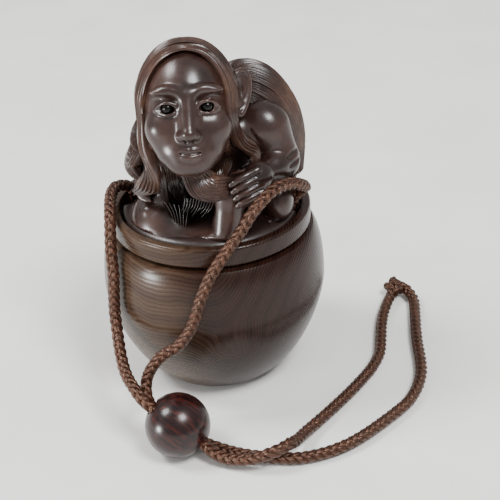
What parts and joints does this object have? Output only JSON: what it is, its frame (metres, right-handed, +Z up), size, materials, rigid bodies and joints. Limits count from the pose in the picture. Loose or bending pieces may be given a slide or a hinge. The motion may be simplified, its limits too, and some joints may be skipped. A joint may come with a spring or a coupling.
{
  "type": "inro case",
  "caption": "Turned wooden cord case with a rim band, a lift-off lid carved as a squatting long-haired figure, and a braided cord loop with a bead and an end knot.",
  "frame": {"origin": "centre of the jar's flat base", "axes": "+Z up along the jar's axis, -Y towards the front, where the figure looks"},
  "size_m": [0.0781, 0.0729, 0.0852],
  "materials": {
    "jar_wood": "satin, turned, with fine growth rings",
    "carved_wood": "satin, dark, worn glossy on the high places",
    "eye_inlay": "polished dark inlay, horn or glass",
    "bead_wood": "polished, fine parallel grain",
    "cord_silk": "round braided silk, slight sheen"
  },
  "bodies": {
    "jar": {"case": "jar_wood", "bead": "bead_wood", "cord_left": "cord_silk", "cord_right": "cord_silk", "knot": "cord_silk"},
    "lid": {"lid_figure": "carved_wood", "eye_right": "eye_inlay", "eye_left": "eye_inlay"}
  },
  "joints": [
    {"name": "lid_lift", "type": "slide", "parent": "jar", "child": "lid", "axis": [0, 0, 1], "range_m": [0, 0.03]}
  ]
}
